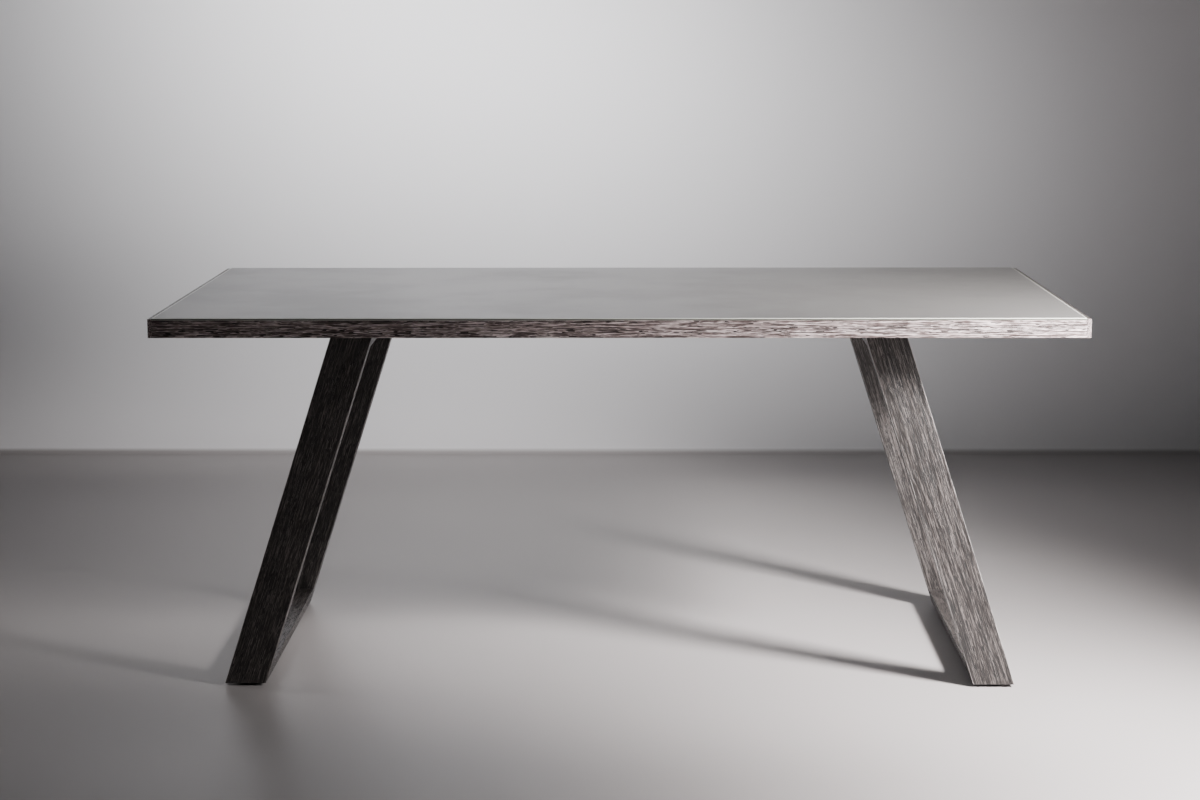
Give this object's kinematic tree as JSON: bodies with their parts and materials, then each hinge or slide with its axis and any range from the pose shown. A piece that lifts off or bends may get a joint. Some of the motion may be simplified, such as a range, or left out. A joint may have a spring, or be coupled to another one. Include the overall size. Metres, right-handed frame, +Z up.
{
  "type": "extendable dining table",
  "caption": "Rectangular dining table with a frosted glass top on a dark oak slab, leaning loop leg frames, and pull-out end frames that store spare leaves.",
  "frame": {"origin": "on the floor, under the middle of the closed table", "axes": "+X to the right along the table's length, +Y to the rear, +Z up"},
  "size_m": [1.8, 0.9, 0.76],
  "materials": {
    "frosted_glass": "acid-etched, back-painted warm grey, satin",
    "bond_tape": "black foam bonding tape",
    "core_board": "dark dyed fibreboard",
    "batten_wood": "planed, unfinished",
    "underside_board": "dark balancing foil, matt",
    "oak_veneer": "stained dark grey-brown, open grain, matt lacquer",
    "black_steel": "fine matt powder coat",
    "zinc_steel": "zinc plated",
    "aluminium": "satin anodised extrusion",
    "black_plastic": "moulded nylon"
  },
  "bodies": {
    "table_frame": {"top_glass": "frosted_glass", "glass_bond_tape": "bond_tape", "top_core_panel": "core_board", "front_edge_rail": "oak_veneer", "rear_edge_rail": "oak_veneer", "centre_batten": "batten_wood", "left_pocket_batten": "batten_wood", "right_pocket_batten": "batten_wood", "underside_centre_panel": "underside_board", "left_underside_panel": "underside_board", "right_underside_panel": "underside_board", "left_leg_plate": "black_steel", "right_leg_plate": "black_steel", "panel_screws": "zinc_steel", "plate_screws": "zinc_steel", "runner_screws": "zinc_steel", "glide_screws": "zinc_steel", "left_front_leg": "oak_veneer", "left_rear_leg": "oak_veneer", "left_floor_rail": "oak_veneer", "left_top_rail": "oak_veneer", "left_frame_dowels": "batten_wood", "left_frame_bolts": "black_steel", "left_floor_glides": "black_plastic", "left_outer_runners": "aluminium", "left_catch_magnet": "black_plastic", "right_front_leg": "oak_veneer", "right_rear_leg": "oak_veneer", "right_floor_rail": "oak_veneer", "right_top_rail": "oak_veneer", "right_frame_dowels": "batten_wood", "right_frame_bolts": "black_steel", "right_floor_glides": "black_plastic", "right_outer_runners": "aluminium", "right_catch_magnet": "black_plastic"},
    "left_end_frame": {"left_end_fascia": "oak_veneer", "left_fascia_pins": "zinc_steel", "left_inner_runners": "aluminium", "left_cross_bars": "black_steel", "left_crossbar_rivets": "zinc_steel", "left_leaf_rests": "black_steel", "left_rest_pins": "zinc_steel", "left_catch_strike": "zinc_steel", "left_leaf_panel": "core_board", "left_leaf_lipping": "oak_veneer", "left_leaf_glass": "frosted_glass"},
    "right_end_frame": {"right_end_fascia": "oak_veneer", "right_fascia_pins": "zinc_steel", "right_inner_runners": "aluminium", "right_cross_bars": "black_steel", "right_crossbar_rivets": "zinc_steel", "right_leaf_rests": "black_steel", "right_rest_pins": "zinc_steel", "right_catch_strike": "zinc_steel", "right_leaf_panel": "core_board", "right_leaf_lipping": "oak_veneer", "right_leaf_glass": "frosted_glass"},
    "left_runner_middle": {"left_middle_runners": "aluminium"},
    "right_runner_middle": {"right_middle_runners": "aluminium"}
  },
  "joints": [
    {"name": "left_end_slide", "type": "slide", "parent": "table_frame", "child": "left_end_frame", "axis": [-1, 0, 0], "range_m": [0, 0.45]},
    {"name": "left_middle_runner_slide", "type": "slide", "parent": "table_frame", "child": "left_runner_middle", "axis": [-1, 0, 0], "range_m": [0, 0.225]},
    {"name": "right_end_slide", "type": "slide", "parent": "table_frame", "child": "right_end_frame", "axis": [1, 0, 0], "range_m": [0, 0.45]},
    {"name": "right_middle_runner_slide", "type": "slide", "parent": "table_frame", "child": "right_runner_middle", "axis": [1, 0, 0], "range_m": [0, 0.225]}
  ],
  "couplings": [
    {"joint": "left_middle_runner_slide", "follows": "left_end_slide", "ratio": 0.5},
    {"joint": "right_middle_runner_slide", "follows": "right_end_slide", "ratio": 0.5}
  ]
}
